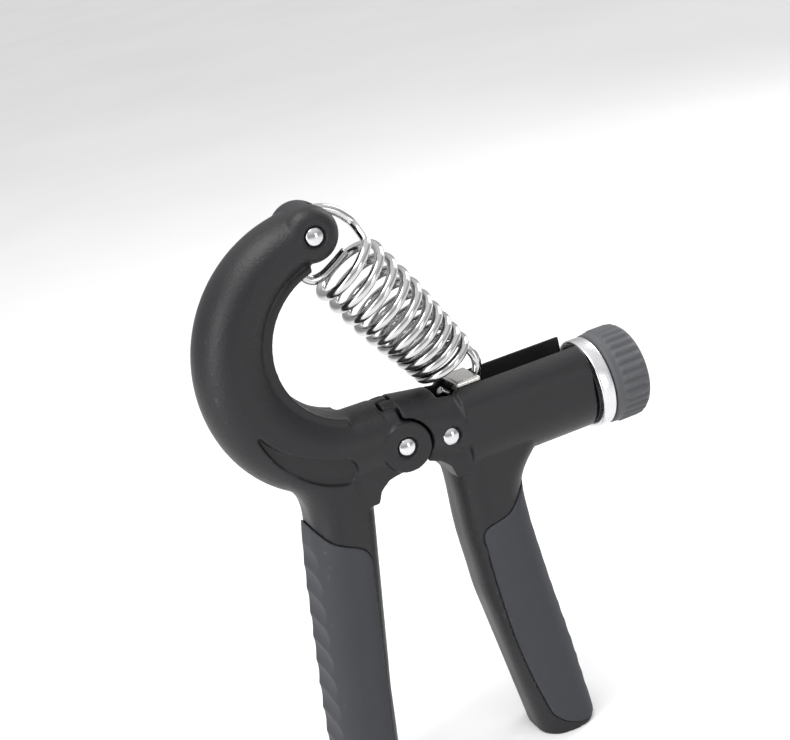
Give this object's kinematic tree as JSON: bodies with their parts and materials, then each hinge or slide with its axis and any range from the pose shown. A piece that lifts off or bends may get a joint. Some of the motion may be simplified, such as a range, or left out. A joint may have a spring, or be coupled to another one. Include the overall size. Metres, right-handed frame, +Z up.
{
  "type": "hand dynamometer",
  "caption": "Two-lever spring hand exerciser: curved arm, hinged grips, tapered extension spring and a ribbed knob that moves the spring's slider to set the force.",
  "frame": {"origin": "centre of the overall box in X and Y, on the plane of the two handle ends", "axes": "+Z up along the handles towards the curved arm, +X along the barrel towards the knob, Y through the thickness"},
  "size_m": [0.113, 0.0252, 0.1592],
  "materials": {
    "lever_black_plastic": "fine matte spark-eroded moulding texture",
    "grip_rubber": "soft matte thermoplastic rubber with shallow waves",
    "pin_chrome": "polished domed steel",
    "spring_chrome": "polished spring wire",
    "screw_steel": "zinc plated, turned",
    "nut_steel": "satin nickel plated",
    "bush_brass": "turned brass",
    "bush_black": "smooth nylon",
    "ring_aluminium": "turned, fine circular brushing",
    "knob_grey": "matte soft-touch, ribbed",
    "core_black": "smooth nylon"
  },
  "bodies": {
    "left": {"left_lever": "lever_black_plastic", "left_grip": "grip_rubber", "pivot_pin": "pin_chrome", "spring_pin": "pin_chrome"},
    "right": {"right_lever": "lever_black_plastic", "right_grip": "grip_rubber", "pivot_bushes": "bush_brass", "screw_retaining_pin": "pin_chrome", "barrel_end_bush": "bush_black", "thrust_washer": "screw_steel"},
    "screw": {"adjusting_screw": "screw_steel", "knob_core": "core_black", "collar_ring": "ring_aluminium", "knob": "knob_grey", "knob_cap": "knob_grey", "knob_pin": "screw_steel"},
    "slider": {"slider_nut": "nut_steel"},
    "spring_top": {"spring_upper": "spring_chrome"},
    "spring_mid": {"spring_middle": "spring_chrome"},
    "spring_end": {"spring_lower": "spring_chrome"}
  },
  "joints": [
    {"name": "handle_pivot", "type": "hinge", "parent": "left", "child": "right", "pos_m": [-0.0115, 0, 0.095], "axis": [0, 1, 0], "range_deg": [0, 20], "stiffness_Nm_per_rad": 12, "springref_deg": -6.88},
    {"name": "knob_turn", "type": "hinge", "parent": "right", "child": "screw", "pos_m": [0.0485, 0, 0.0905], "axis": [-1, 0, 0], "range_deg": [0, 2880]},
    {"name": "nut_slide", "type": "slide", "parent": "right", "child": "slider", "axis": [1, 0, 0], "range_m": [0, 0.01001]},
    {"name": "spring_swing", "type": "hinge", "parent": "left", "child": "spring_top", "pos_m": [-0.0215, 0, 0.1523], "axis": [0, -1, 0], "range_deg": [0, 7.38]},
    {"name": "spring_extend", "type": "slide", "parent": "spring_top", "child": "spring_mid", "axis": [0.5411, 0, -0.841], "range_m": [0, 0.00596], "deforming": ["spring_upper"]},
    {"name": "spring_pull", "type": "slide", "parent": "spring_mid", "child": "spring_end", "axis": [0, 0, -1], "range_m": [0, 0.00976], "deforming": ["spring_lower", "spring_middle"]}
  ],
  "couplings": [
    {"joint": "nut_slide", "follows": "knob_turn", "m_per_rad": 0.00019894},
    {"joint": "spring_swing", "follows": "knob_turn", "ratio": 0.0025556},
    {"joint": "spring_extend", "follows": "knob_turn", "m_per_rad": 0.00011841},
    {"joint": "spring_pull", "follows": "handle_pivot", "m_per_rad": 0.027932}
  ]
}
